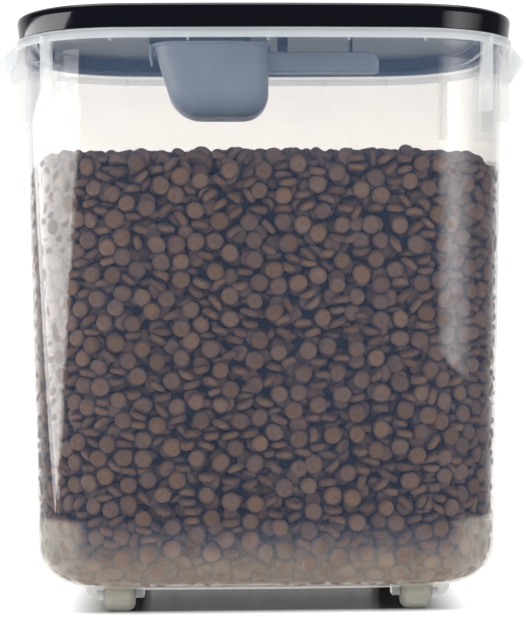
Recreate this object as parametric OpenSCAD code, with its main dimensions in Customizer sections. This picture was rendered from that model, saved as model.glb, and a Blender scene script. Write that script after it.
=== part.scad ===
// Pet food bin: a drafted rounded-rectangular tub on four small wheels, with a press-on lid.
// A scoop hangs under the lid. The origin is on the floor below the centre; the front faces -Y.

/* [Plan outline] */
// Width across the lid's top edge
lid_w = 336.5; // [300:0.5:380]
// Depth across the lid's top edge
lid_d = 259; // [230:1:290]
// Corner radius of the lid's top edge
corner_r = 76; // [60:1:85]
// Radius that the front and back faces are bowed to
front_bow_r = 1800; // [1200:50:3000]
// Radius that the side faces are bowed to
side_bow_r = 1000; // [700:50:2000]

/* [Tub] */
// Height of the tub's underside above the floor
clearance = 17; // [16:0.5:20]
// Top of the rim flange above the floor
flange_z = 379.5; // [340:0.5:420]
// Height of the mouth wall above the flange
mouth_h = 11.5; // [10:0.5:14]
// Wall thickness
wall = 2.4; // [2:0.1:3]
// Draft of the walls in degrees
draft = 1.2; // [0.5:0.1:2]
// Outer radius between the walls and the underside
base_r = 26; // [20:1:32]

/* [Side grips] */
// How far a grip stands out past the flange
grip_out = 15.9; // [12:0.1:22]
// Half the length of a grip along the flange
grip_half = 62; // [50:1:70]
// Depth of the grip's down-turned lip at its middle
grip_drop = 21; // [12:0.5:24]
// How far the grip's outer edge hangs below the flange at its middle
grip_sag = 6; // [0:0.5:8]

/* [Lid] */
// Top of the lid above the flange
lid_rise = 15.9; // [14:0.1:18]
// Thickness of the lid's top panel
panel_t = 2.8; // [2.5:0.1:4]
// Depth of the plug that fills the mouth, below the lid's underside
plug_h = 9.7; // [8:0.1:14]

/* [Scoop] */
// Length of the bowl's mouth
bowl_l = 80; // [60:1:90]
// Width of the bowl's mouth
bowl_w = 76; // [60:1:90]
// Depth of the bowl
bowl_h = 50; // [40:1:60]
// Length of the handle past the bowl
handle_l = 79; // [60:1:90]
// Width of the handle
handle_w = 17; // [14:1:22]
// Height of the handle's channel
handle_h = 14; // [10:1:18]

/* [Wheels] */
// Radius of a wheel
wheel_r = 12; // [11:0.5:13]
// Width of a wheel
wheel_w = 20.6; // [16:0.1:22]
// Distance of a wheel's middle from the bin's middle, sideways
wheel_x = 98.4; // [90:0.1:100]
// Distance of a wheel's axis from the bin's middle, front to back
wheel_y = 72; // [60:1:76]
// Radius of an axle
axle_r = 1.5; // [1.2:0.1:2]

/* [Hidden] */
$fn = 64;

natural = [0.90, 0.92, 0.92, 0.45];
black = [0.04, 0.04, 0.05];
seal_grey = [0.45, 0.48, 0.52];
scoop_blue = [0.44, 0.49, 0.55];
wheel_grey = [0.56, 0.56, 0.51];
steel = [0.75, 0.75, 0.75];

mouth_z = flange_z + mouth_h;
lid_z = flange_z + lid_rise;
panel_step = 1.2;
lid_under_z = lid_z - panel_step - panel_t;
plug_z = lid_under_z - plug_h;

// Insets from the lid's top edge, all parallel to it
flange_in = -0.8;
lip_in = 1.4;
skirt_in = 1.6;
mouth_in = 5.2;
mouth_t = 2.2;
wall_in = 6;
plug_in = mouth_in + mouth_t + 1.2;
seal_in = mouth_in + mouth_t + 0.3;
groove_in = plug_in + 1.9;
plug_inner = plug_in + 3.9;

lip_h = 6.5;
flange_t = 2.2;
neck_z = flange_z - 17.5;
groove_z = plug_z + 2.3;
groove_h = 4.2;
fit_gap = 0.3;
pin_gap = 0.03;

// ---- Plan outline: two pairs of bowed faces with corner arcs tangent to both ----
function turn(c, r, a) = [c[0] + r * cos(a), c[1] + r * sin(a)];
function towards(p, q) = atan2(q[1] - p[1], q[0] - p[0]);

front_c = [0, lid_d / 2 - front_bow_r];
side_c = [lid_w / 2 - side_bow_r, 0];
gap_c = norm(side_c - front_c);
reach_front = front_bow_r - corner_r;
reach_side = side_bow_r - corner_r;
along_c = (reach_front * reach_front - reach_side * reach_side + gap_c * gap_c) / (2 * gap_c);
across_c = sqrt(reach_front * reach_front - along_c * along_c);
unit_c = (side_c - front_c) / gap_c;
corner_c = front_c + along_c * unit_c + across_c * [unit_c[1], -unit_c[0]];
side_end = towards(side_c, corner_c);
front_start = towards(front_c, corner_c);

side_n = 3;
corner_n = 11;
front_n = 4;
quarter_n = side_n + corner_n + front_n;

function quarter(inset) = concat(
    [for (i = [0:side_n - 1]) turn(side_c, side_bow_r - inset, side_end * i / side_n)],
    [for (i = [0:corner_n - 1])
        turn(corner_c, corner_r - inset, side_end + (front_start - side_end) * i / corner_n)],
    [for (i = [0:front_n]) turn(front_c, front_bow_r - inset, front_start + (90 - front_start) * i / front_n)]);

function outline(inset) = let (q = quarter(inset)) concat(
    q,
    [for (i = [quarter_n - 1:-1:0]) [-q[i][0], q[i][1]]],
    [for (i = [1:quarter_n]) [-q[i][0], -q[i][1]]],
    [for (i = [quarter_n - 1:-1:1]) [q[i][0], -q[i][1]]]);

// A closed skin through rings of equal length, capped at the first and the last
module skin(rings) {
    n = len(rings[0]);
    last = len(rings) - 1;
    polyhedron(
        points = [for (ring = rings) for (p = ring) p],
        faces = concat(
            [[for (i = [0:n - 1]) i]],
            [for (k = [0:last - 1]) for (i = [0:n - 1]) let (j = (i + 1) % n)
                [k * n + i, (k + 1) * n + i, (k + 1) * n + j, k * n + j]],
            [[for (i = [n - 1:-1:0]) last * n + i]]),
        convexity = 10);
}

// The same skin for a profile of [inset, height] pairs that runs round the outline
module loft(profile) {
    skin([for (p = profile) [for (q = outline(p[0])) [q[0], q[1], p[1]]]]);
}

// ---- Tub ----
function wall_inset(z) = wall_in + (neck_z - z) * tan(draft);

// Quarter-round from the underside to the wall; steps run from flat to upright
function base_round(r, in, z0, steps) = [for (i = [0:steps]) let (a = 90 * i / steps)
    [wall_inset(z0 + r) + in + r * (1 - sin(a)), z0 + r * (1 - cos(a))]];
function flipped(list) = [for (i = [len(list) - 1:-1:0]) list[i]];

tub_profile = concat(
    base_round(base_r, 0, clearance, 7),
    [[wall_in, neck_z],
     [wall_in - 0.5, neck_z + 0.8],
     [wall_in - 0.5, flange_z - flange_t],
     [lip_in, flange_z - flange_t],
     [lip_in, flange_z - lip_h],
     [flange_in, flange_z - lip_h],
     [flange_in, flange_z],
     [mouth_in, flange_z],
     [mouth_in, mouth_z],
     [mouth_in + mouth_t, mouth_z],
     [mouth_in + mouth_t, neck_z + 4],
     [wall_in + wall, neck_z - 1]],
    flipped(base_round(base_r - wall, wall, clearance + wall, 7)));

// How far the grip stands out at distance y from its middle, from 0 to 1
function bulge(y) = 0.5 + 0.5 * cos(180 * y / grip_half);
flange_side = lid_w / 2 - flange_in;
grip_n = 24;
grip_ys = [for (i = [0:grip_n]) -grip_half + 2 * grip_half * i / grip_n];
function flange_edge(y) = side_c[0] + sqrt(pow(side_bow_r - flange_in, 2) - y * y);
function grip_edge(y) = flange_edge(min(abs(y), grip_half)) + grip_out * bulge(y);

grip_lean = 0.55;

// One side's grip: a ledge that slopes down from the flange and a lip that leans back in below it
module grip() {
    skin([for (y = flipped(grip_ys)) let (
            root = flange_edge(y) - 3,
            x = grip_edge(y),
            sag = grip_sag * bulge(y))
        [[root, y, flange_z],
         [root, y, flange_z - flange_t],
         [x, y, flange_z - flange_t - sag],
         [x, y, flange_z - sag]]]);
    skin([for (y = flipped(grip_ys)) let (
            x = grip_edge(y),
            top = flange_z - grip_sag * bulge(y) - 0.4,
            drop = lip_h + (grip_drop - lip_h) * bulge(y),
            lean = grip_lean * (drop - lip_h))
        [[x - flange_t, y, top],
         [x - flange_t - lean, y, flange_z - drop],
         [x - lean, y, flange_z - drop],
         [x, y, top]]]);
}

// The flange's own lip stops between the side ribs, so that fingers reach up behind the grip
module lip_gap() {
    translate([lid_w / 2 - wall_in + 1, -side_rib_y, flange_z - lip_h - 1])
        cube([wall_in + 3, 2 * side_rib_y, lip_h + 1 - flange_t]);
}

rib_z = clearance + 311.2;
rib_t = 2.2;
rib_round = 3.6;
corner_rib_angle = 44;
corner_rib_out = 9.6;
side_rib_out = 9;
side_rib_y = 34.5;

// A rib's plate, standing out along +X from the wall, with a rounded outer bottom corner
module rib(out, z0) {
    rotate([90, 0, 0])
        translate([0, 0, -rib_t / 2])
            linear_extrude(rib_t) {
                translate([-3.5, z0 + rib_round])
                    square([out + 3.5, flange_z - flange_t / 2 - z0 - rib_round]);
                translate([-3.5, z0])
                    square([out + 3.5 - rib_round, rib_round + 0.1]);
                translate([out - rib_round, z0 + rib_round])
                    circle(rib_round);
            }
}

module ribs() {
    corner_wall = corner_r - wall_in - 0.6;
    side_wall = lid_w / 2 - wall_in - 1.2;
    for (sx = [0, 1], sy = [0, 1])
        mirror([sx, 0, 0])
            mirror([0, sy, 0]) {
                translate([corner_c[0], corner_c[1], 0])
                    rotate([0, 0, 90 - corner_rib_angle])
                        translate([corner_wall, 0, 0])
                            rib(corner_rib_out, rib_z);
                translate([side_wall, side_rib_y, 0])
                    rib(side_rib_out, rib_z);
            }
}

gusset_xs = [-101, -51.5, 0, 51.5, 101];
gusset_w = 2.4;
gusset_h = 7.8;

module gussets() {
    front_wall = lid_d / 2 - wall_in - 2.5;
    for (sy = [0, 1], x = gusset_xs)
        mirror([0, sy, 0])
            translate([x - gusset_w / 2, front_wall, flange_z - gusset_h])
                cube([gusset_w, 5.6, gusset_h - flange_t / 2]);
}

arch_r = wheel_r + 1.3;
arch_half = wheel_w / 2 + 0.35;
cheek_z = 8.4;
cheek_half = 9;
fin_reach = 11.3;

module each_wheel() {
    for (sx = [0, 1], sy = [0, 1])
        mirror([sx, 0, 0])
            mirror([0, sy, 0])
                translate([wheel_x, wheel_y, wheel_r])
                    children();
}

module along_x(half, r) {
    rotate([0, 90, 0])
        cylinder(h = 2 * half, r = r, center = true);
}

// The arch over a wheel, which rises through the base into the tub
module arch_shell() {
    intersection() {
        along_x(arch_half + wall, arch_r + wall);
        translate([-50, -50, clearance - wheel_r + 0.2])
            cube([100, 100, 60]);
    }
}

// The outer cheek is a fin with a bowed lower edge; the inner one is a plain post
module cheeks() {
    top = clearance + wall / 2 - wheel_r;
    bottom = cheek_z - wheel_r;
    fin_drop = clearance - cheek_z;
    translate([arch_half, cheek_half, clearance - wheel_r])
        rotate([90, 0, 0])
            linear_extrude(2 * cheek_half)
                polygon(concat(
                    [[0, wall / 2], [fin_reach, wall / 2]],
                    [for (i = [0:12]) let (a = 90 * i / 12) [fin_reach * cos(a), -fin_drop * sin(a)]]));
    translate([-arch_half - 5.4, -cheek_half + 3, bottom + 1])
        cube([5.4, 2 * cheek_half - 6, top - bottom - 1]);
}

module tub() {
    color(natural)
        difference() {
            union() {
                difference() {
                    loft(tub_profile);
                    for (sx = [0, 1])
                        mirror([sx, 0, 0])
                            lip_gap();
                }
                for (sx = [0, 1])
                    mirror([sx, 0, 0])
                        grip();
                ribs();
                gussets();
                each_wheel() {
                    arch_shell();
                }
                each_wheel() {
                    cheeks();
                }
            }
            each_wheel() {
                along_x(arch_half, arch_r);
            }
            each_wheel() {
                translate([(fin_reach - 9) / 4, 0, 0])
                    along_x(arch_half + 4.4, axle_r + pin_gap);
            }
        }
}

// ---- Lid ----
lid_profile = [
    [plug_inner + 1.2, lid_under_z],
    [plug_inner, lid_under_z - 1.2],
    [plug_inner, plug_z],
    [plug_in + 0.6, plug_z],
    [plug_in, plug_z + 0.8],
    [plug_in, groove_z],
    [groove_in, groove_z],
    [groove_in, groove_z + groove_h],
    [plug_in, groove_z + groove_h],
    [plug_in, mouth_z + fit_gap],
    [skirt_in + 1.6, mouth_z + fit_gap],
    [skirt_in + 2, flange_z + fit_gap],
    [skirt_in, flange_z + fit_gap],
    [0.2, lid_z - 4],
    [0, lid_z - 2],
    [0.6, lid_z - 0.6],
    [2, lid_z],
    [12, lid_z],
    [13.6, lid_z - panel_step]];

post_gap = 0.25;
post_x = 11;
post_l = 7;
tab_x = 62;
tab_l = 1.8;
locator_x = -79;
locator_l = 70;

module lid() {
    color(black) {
        channel_w = handle_w - 4;
        post_z = scoop_z + handle_drop + 2 + 4;
        loft(lid_profile);
        for (p = [[post_x, post_l], [tab_x, tab_l]])
            translate([p[0], -channel_w / 2 + post_gap, post_z])
                cube([p[1], channel_w - 2 * post_gap, lid_under_z - post_z + 1]);
        translate([locator_x, -20, scoop_rim_z + 1])
            cube([locator_l, 40, lid_under_z - scoop_rim_z]);
    }
}

module lid_seal() {
    color(seal_grey)
        translate([0, 0, groove_z + 0.1])
            linear_extrude(groove_h - 0.2)
                difference() {
                    polygon(outline(seal_in));
                    polygon(outline(groove_in));
                }
}

// ---- Scoop ----
bowl_left = -76;
bowl_right = bowl_left + bowl_l;
bowl_t = 1.8;
bowl_round = 16;
bowl_lean = 0.31;
scoop_rim_z = lid_under_z - 7.4;
scoop_z = scoop_rim_z - bowl_h;
handle_drop = 32.5;

// A level ring of the bowl, from x0 to x1 and half wide each side, with corners of radius r
function bowl_ring(x0, x1, half, r, z) = [
    for (c = [[x1 - r, half - r, 0], [x0 + r, half - r, 90], [x0 + r, r - half, 180], [x1 - r, r - half, 270]])
        for (i = [0:7])
            [c[0] + r * cos(c[2] + 90 * i / 7), c[1] + r * sin(c[2] + 90 * i / 7), z]];

// The bowl's skin: inset from the outer face by t, floor at z0, bottom edge rounded by r
function bowl_wall(z, t, in) = bowl_ring(
    bowl_left + t + bowl_lean * (scoop_rim_z - z) + in,
    bowl_right - t - in,
    bowl_w / 2 - t - in - 0.09 * (scoop_rim_z - z),
    max(6, 20 - t - in), z);
function bowl_skin(t, z0, r, z_top) = concat(
    [for (i = [0:5]) let (a = 90 * i / 5) bowl_wall(z0 + r * (1 - cos(a)), t, r * (1 - sin(a)))],
    [bowl_wall(z_top, t, 0)]);

module scoop() {
    color(scoop_blue) {
        difference() {
            union() {
                skin(bowl_skin(0, scoop_z, bowl_round, scoop_rim_z));
                skin([bowl_wall(scoop_rim_z - 2, -1.6, 0), bowl_wall(scoop_rim_z, -1.6, 0)]);
                translate([0, 0, scoop_z + handle_drop])
                    handle_bar(handle_w / 2, handle_h, bowl_right - 4);
                translate([bowl_left - 3, -20, scoop_rim_z - 10])
                    cube([1.8, 40, 10]);
                translate([bowl_left - 3, -20, scoop_rim_z - 2])
                    cube([6, 40, 2]);
            }
            skin(bowl_skin(bowl_t, scoop_z + bowl_t, bowl_round - bowl_t, scoop_rim_z + 5));
            translate([0, 0, scoop_z + handle_drop + 2])
                handle_bar(handle_w / 2 - 2, handle_h, bowl_right + 3);
        }
    }
}

// A bar along +X from x0 to the handle's rounded end, half wide each side and h high
module handle_bar(half, h, x0) {
    end_x = bowl_right + handle_l - handle_w / 2;
    translate([x0, -half, 0])
        cube([end_x - x0, 2 * half, h]);
    translate([end_x, 0, 0])
        cylinder(h = h, r = half);
}

// ---- Wheels and axles ----
shoulder = 4.4;

module wheel_at(sx, sy) {
    half = wheel_w / 2;
    color(wheel_grey)
        translate([sx * wheel_x, sy * wheel_y, wheel_r])
            rotate([0, 90, 0])
                rotate_extrude($fn = 96)
                    difference() {
                        union() {
                            translate([axle_r + pin_gap, -half + shoulder])
                                square([wheel_r - axle_r - pin_gap, wheel_w - 2 * shoulder]);
                            translate([axle_r + pin_gap, -half])
                                square([wheel_r - shoulder - axle_r - pin_gap, wheel_w]);
                            for (s = [-1, 1])
                                translate([wheel_r - shoulder, s * (half - shoulder)])
                                    circle(shoulder, $fn = 48);
                        }
                        for (s = [-1, 1])
                            translate([4.2, s * half - 1.2])
                                square([3, 2.4]);
                    }
}

module axle_at(sx, sy) {
    color(steel)
        translate([sx * (wheel_x + (fin_reach - 9) / 4), sy * wheel_y, wheel_r])
            along_x(arch_half + 4.2, axle_r);
}

module wheel_front_left() { wheel_at(-1, -1); }
module wheel_front_right() { wheel_at(1, -1); }
module wheel_rear_left() { wheel_at(-1, 1); }
module wheel_rear_right() { wheel_at(1, 1); }
module axle_front_left() { axle_at(-1, -1); }
module axle_front_right() { axle_at(1, -1); }
module axle_rear_left() { axle_at(-1, 1); }
module axle_rear_right() { axle_at(1, 1); }

tub();
lid();
lid_seal();
scoop();
wheel_front_left();
wheel_front_right();
wheel_rear_left();
wheel_rear_right();
axle_front_left();
axle_front_right();
axle_rear_left();
axle_rear_right();
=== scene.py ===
"""Pet food bin: translucent tub with side grips, black press-on lid, hanging scoop and four small wheels."""
import math

import bmesh
import bpy
import numpy as np
from mathutils import Euler, Matrix, Vector


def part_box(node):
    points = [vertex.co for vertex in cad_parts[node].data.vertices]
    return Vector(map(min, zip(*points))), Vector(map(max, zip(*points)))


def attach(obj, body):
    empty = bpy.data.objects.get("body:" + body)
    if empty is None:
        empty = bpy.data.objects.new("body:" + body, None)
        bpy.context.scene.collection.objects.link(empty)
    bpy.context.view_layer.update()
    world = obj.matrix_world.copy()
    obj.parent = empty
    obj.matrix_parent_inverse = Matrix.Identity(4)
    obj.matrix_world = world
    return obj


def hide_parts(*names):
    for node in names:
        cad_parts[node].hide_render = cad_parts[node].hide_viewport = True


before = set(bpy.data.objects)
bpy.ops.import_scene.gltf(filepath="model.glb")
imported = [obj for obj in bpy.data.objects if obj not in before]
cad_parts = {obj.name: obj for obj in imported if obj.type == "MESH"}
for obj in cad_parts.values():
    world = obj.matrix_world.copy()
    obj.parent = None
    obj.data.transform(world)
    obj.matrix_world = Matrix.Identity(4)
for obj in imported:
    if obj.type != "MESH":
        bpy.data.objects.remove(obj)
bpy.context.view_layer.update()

MM = 0.001

# ---------------------------------------------------------------- driving dimensions, in millimetres
def box_mm(node):
    """The low and the high corner of a CAD node's box."""
    return [np.array(corner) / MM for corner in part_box(node)]


TUB_HIGH = box_mm("tub")[1]
LID_LOW, LID_HIGH = box_mm("lid")
SCOOP_LOW, SCOOP_HIGH = box_mm("scoop")
WHEEL_LOW, WHEEL_HIGH = box_mm("wheel_front_left")

LID_W, LID_D = (LID_HIGH - LID_LOW)[:2]
LID_Z = LID_HIGH[2]
CORNER_R = 76.0
FRONT_BOW_R = 1800.0
SIDE_BOW_R = 1000.0

MOUTH_Z = TUB_HIGH[2]
FLANGE_Z = MOUTH_Z - 11.5
CLEARANCE = 17.0
WALL = 2.4
DRAFT = math.tan(math.radians(1.2))
NECK_Z = FLANGE_Z - 17.5
BASE_R = 26.0

FLANGE_IN = -0.8
LIP_IN = 1.4
WALL_IN = 6.0
MOUTH_IN = 5.2
MOUTH_T = 2.2
LIP_H = 6.5
FLANGE_T = 2.2
GRIP_OUT = 15.9
GRIP_HALF = 62.0
GRIP_DROP = 21.0
GRIP_SAG = 6.0
GRIP_LEAN = 0.55

WHEEL_R = (WHEEL_HIGH[2] - WHEEL_LOW[2]) / 2
WHEEL_W = WHEEL_HIGH[0] - WHEEL_LOW[0]
WHEEL_X = -(WHEEL_LOW[0] + WHEEL_HIGH[0]) / 2
WHEEL_Y = -(WHEEL_LOW[1] + WHEEL_HIGH[1]) / 2
AXLE_R = 1.5


# ---------------------------------------------------------------- camera
def make_camera():
    """The photograph's view: level, a little above the bin's middle, and slightly from its left."""
    distance, around = 1.2463, math.radians(-1.93)
    camera = bpy.data.objects.new("camera", bpy.data.cameras.new("camera"))
    bpy.context.collection.objects.link(camera)
    camera.data.sensor_fit = "VERTICAL"
    camera.data.sensor_height = 36.0
    camera.data.lens = 102.75
    camera.location = (distance * math.sin(around), -distance * math.cos(around), 0.2068)
    camera.rotation_euler = (math.radians(90.0), math.radians(0.266), around)
    camera.data.shift_y = -0.0155
    camera.data.clip_end = 50.0
    bpy.context.scene.camera = camera


make_camera()


# ---------------------------------------------------------------- plan outline and lofting
def plan_centres():
    """Centres of the front face's bow, the side face's bow and the corner arc tangent to both."""
    front = np.array([0.0, LID_D / 2 - FRONT_BOW_R])
    side = np.array([LID_W / 2 - SIDE_BOW_R, 0.0])
    gap = np.linalg.norm(side - front)
    reach_front, reach_side = FRONT_BOW_R - CORNER_R, SIDE_BOW_R - CORNER_R
    along = (reach_front ** 2 - reach_side ** 2 + gap ** 2) / (2 * gap)
    across = math.sqrt(reach_front ** 2 - along ** 2)
    unit = (side - front) / gap
    return front, side, front + along * unit + across * np.array([unit[1], -unit[0]])


FRONT_C, SIDE_C, CORNER_C = plan_centres()
SIDE_END = math.atan2(*(CORNER_C - SIDE_C)[::-1])
FRONT_START = math.atan2(*(CORNER_C - FRONT_C)[::-1])


def arc(centre, radius, start, end, count):
    """Points on an arc from start up to but not including end."""
    angles = start + (end - start) * np.arange(count) / count
    return centre + radius * np.stack([np.cos(angles), np.sin(angles)], axis=1)


def outline(inset, side_n=12, corner_n=22, front_n=10):
    """The plan outline moved inwards by inset, anticlockwise from the middle of the +X side."""
    quarter = np.concatenate([
        arc(SIDE_C, SIDE_BOW_R - inset, 0.0, SIDE_END, side_n),
        arc(CORNER_C, CORNER_R - inset, SIDE_END, FRONT_START, corner_n),
        arc(FRONT_C, FRONT_BOW_R - inset, FRONT_START, math.pi / 2, front_n),
        [[0.0, LID_D / 2 - inset]]])
    left = quarter[-2::-1] * (-1, 1)
    return np.concatenate([quarter, left, -quarter[1:], quarter[-2:0:-1] * (1, -1)])


def rounded(profile, steps=5):
    """A polyline of (inset, height, radius) with each corner of radius > 0 turned into an arc."""
    points = [np.array(p[:2], dtype=float) for p in profile]
    result = []
    for k, (_, _, radius) in enumerate(profile):
        here = points[k]
        if radius <= 0 or k in (0, len(profile) - 1):
            result.append(here)
            continue
        back, on = points[k - 1] - here, points[k + 1] - here
        back, on = back / np.linalg.norm(back), on / np.linalg.norm(on)
        half = math.acos(float(np.clip(back @ on, -1, 1))) / 2
        centre = here + (back + on) / np.linalg.norm(back + on) * radius / math.sin(half)
        count = steps if radius < 8 else 3 * steps
        first = here + back * radius / math.tan(half) - centre
        last = here + on * radius / math.tan(half) - centre
        sweep = math.pi - 2 * half
        for t in np.linspace(0, 1, count + 1):
            turned = first * math.sin((1 - t) * sweep) + last * math.sin(t * sweep)
            result.append(centre + turned / math.sin(sweep))
    return result


def new_object(name, mesh):
    obj = bpy.data.objects.new(name, mesh)
    bpy.context.collection.objects.link(obj)
    return obj


def skin(name, rings, closed=False):
    """A mesh through rings of equal length, all in mm. Open ends are drawn in to a small flat cap."""
    rings = [np.asarray(ring, dtype=float) for ring in rings]
    n = len(rings[0])
    verts = np.concatenate(rings) * MM
    faces = []
    count = len(rings)
    for k in range(count if closed else count - 1):
        a, b = k * n, (k + 1) % count * n
        faces += [(a + i, a + (i + 1) % n, b + (i + 1) % n, b + i) for i in range(n)]
    if not closed:
        faces.append(tuple(range(n - 1, -1, -1)))
        faces.append(tuple(range((count - 1) * n, count * n)))
    mesh = bpy.data.meshes.new(name)
    mesh.from_pydata(verts.tolist(), [], faces)
    mesh.validate()
    bm = bmesh.new()
    bm.from_mesh(mesh)
    bmesh.ops.recalc_face_normals(bm, faces=bm.faces)
    bm.to_mesh(mesh)
    bm.free()
    return new_object(name, mesh)


def level(points, z):
    """Plan points set at one height."""
    return np.column_stack([points, np.full(len(points), z)])


def loft(name, profile, closed=False, warp=None, cap_scales=(0.75, 0.5, 0.25)):
    """A skin whose rings run round the plan outline at each (inset, height) of the rounded profile."""
    rings = [level(outline(p[0]), p[1]) for p in profile]
    if warp:
        rings = [warp(ring, p) for ring, p in zip(rings, profile)]
    if not closed:
        first, last = rings[0], rings[-1]
        head = [first * (s, s, 1) for s in cap_scales[::-1]]
        tail = [last * (s, s, 1) for s in cap_scales]
        rings = head + rings + tail
    return skin(name, rings, closed)


def smooth(obj, angle):
    """Smooth shading, with edges sharper than angle degrees kept sharp."""
    obj.data.shade_smooth()
    obj.data.set_sharp_from_angle(angle=math.radians(angle))


def apply_modifiers(obj):
    bpy.context.view_layer.update()
    done = bpy.data.meshes.new_from_object(obj.evaluated_get(bpy.context.evaluated_depsgraph_get()))
    obj.modifiers.clear()
    obj.data = done


def combine(obj, other, operation):
    """Applies a boolean of obj with other, and removes other."""
    tool = obj.modifiers.new("combine", "BOOLEAN")
    tool.operation = operation
    tool.solver = "EXACT"
    tool.object = other
    apply_modifiers(obj)
    bpy.data.objects.remove(other)


def joined(name, objects):
    """One object from several that don't cross each other."""
    bm = bmesh.new()
    for obj in objects:
        start = len(bm.verts)
        bm.from_mesh(obj.data)
        bm.verts.ensure_lookup_table()
        for vert in bm.verts[start:]:
            vert.co = obj.matrix_world @ vert.co
        bpy.data.objects.remove(obj)
    mesh = bpy.data.meshes.new(name)
    bm.to_mesh(mesh)
    bm.free()
    return new_object(name, mesh)


def extrusion(name, polygon, low, high, axis, bevel=0.0, segments=2):
    """A prism of a closed polygon in mm. axis "Y" takes (x, z) points, "Z" (x, y) and "X" (y, z)."""
    bm = bmesh.new()
    place = {"X": lambda a, b, c: (c, a, b), "Y": lambda a, b, c: (a, c, b),
             "Z": lambda a, b, c: (a, b, c)}[axis]
    rows = [[bm.verts.new(np.array(place(a, b, c)) * MM) for a, b in polygon] for c in (low, high)]
    bm.faces.new(rows[0])
    bm.faces.new(rows[1][::-1])
    for i in range(len(polygon)):
        j = (i + 1) % len(polygon)
        bm.faces.new((rows[0][i], rows[1][i], rows[1][j], rows[0][j]))
    bmesh.ops.recalc_face_normals(bm, faces=bm.faces)
    if bevel:
        sharp = [e for e in bm.edges if e.calc_face_angle(0) > math.radians(30)]
        bmesh.ops.bevel(bm, geom=sharp, offset=bevel * MM, segments=segments, profile=0.5, affect="EDGES")
    mesh = bpy.data.meshes.new(name)
    bm.to_mesh(mesh)
    bm.free()
    return new_object(name, mesh)


def lathe(name, profile, segments=96):
    """A solid of revolution about X from (x, radius) points in mm, with its ends on the axis or closed."""
    turns = np.linspace(0, 2 * math.pi, segments, endpoint=False)
    rings = [np.column_stack([np.full(segments, x), r * np.cos(turns), r * np.sin(turns)]) for x, r in profile]
    return skin(name, rings, closed=True)


def box_points(x0, x1, y0, y1):
    return [(x0, y0), (x1, y0), (x1, y1), (x0, y1)]


def four_corners(make, name):
    """make(sx, sy) at each of the four corners, joined."""
    return joined(name, [make(sx, sy, f"{name}_{sx}_{sy}") for sx in (-1, 1) for sy in (-1, 1)])


# ---------------------------------------------------------------- node helpers
class Nodes:
    """A material's node tree, with short ways to add and link nodes."""

    def __init__(self, name):
        self.material = bpy.data.materials.new(name)
        self.material.use_nodes = True
        self.tree = self.material.node_tree
        self.tree.nodes.clear()
        self.output = self.tree.nodes.new("ShaderNodeOutputMaterial")

    def add(self, kind, **settings):
        node = self.tree.nodes.new("ShaderNode" + kind)
        inputs = settings.pop("inputs", {})
        for key, value in settings.items():
            setattr(node, key, value)
        for key, value in inputs.items():
            self.set(node, key, value)
        return node

    def set(self, node, key, value):
        socket = node.inputs[key]
        if isinstance(value, bpy.types.NodeSocket):
            self.tree.links.new(value, socket)
        else:
            socket.default_value = value

    def position(self):
        return self.add("TexCoord").outputs["Object"]

    def noise(self, scale, detail=3.0, roughness=0.5, vector=None, stretch=None):
        vector = vector or self.position()
        if stretch:
            vector = self.add("Mapping", inputs={"Vector": vector, "Scale": stretch}).outputs[0]
        return self.add("TexNoise", inputs={
            "Vector": vector, "Scale": scale, "Detail": detail, "Roughness": roughness}).outputs["Fac"]

    def remap(self, value, low, high, out_low, out_high):
        return self.add("MapRange", inputs={
            "Value": value, "From Min": low, "From Max": high, "To Min": out_low, "To Max": out_high}).outputs[0]

    def math(self, operation, a, b=0.0):
        node = self.add("Math", operation=operation)
        self.set(node, 0, a)
        self.set(node, 1, b)
        return node.outputs[0]

    def bump(self, height, distance, strength=1.0, normal=None):
        node = self.add("Bump", inputs={"Height": height, "Distance": distance, "Strength": strength})
        if normal:
            self.set(node, "Normal", normal)
        return node.outputs[0]

    def ramp(self, value, *stops):
        node = self.add("ValToRGB", inputs={"Fac": value})
        elements = node.color_ramp.elements
        while len(elements) < len(stops):
            elements.new(0.5)
        for element, (place, colour) in zip(elements, stops):
            element.position = place
            element.color = (*colour, 1.0)
        return node.outputs["Color"]

    def mix_colour(self, factor, a, b):
        node = self.add("Mix", data_type="RGBA")
        for index, value in ((0, factor), (6, a), (7, b)):
            if isinstance(value, bpy.types.NodeSocket):
                self.tree.links.new(value, node.inputs[index])
            else:
                node.inputs[index].default_value = value if index == 0 else (*value, 1.0)
        return node.outputs[2]

    def mix_shader(self, factor, a, b):
        node = self.add("MixShader")
        self.set(node, 0, factor)
        self.set(node, 1, a)
        self.set(node, 2, b)
        return node.outputs[0]

    def finish(self, shader):
        self.tree.links.new(shader, self.output.inputs["Surface"])
        return self.material


# ---------------------------------------------------------------- materials
PLASTIC_IOR = 1.49
BASE_HAZE_TOP = 0.064
WHITE_FROM, WHITE_TO = 0.066, 0.036
END_FROM, END_TO = 0.116, 0.150
NECK_HAZE_FROM, NECK_HAZE_TO = 0.316, 0.336
END_HAZE = 0.30


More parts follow.
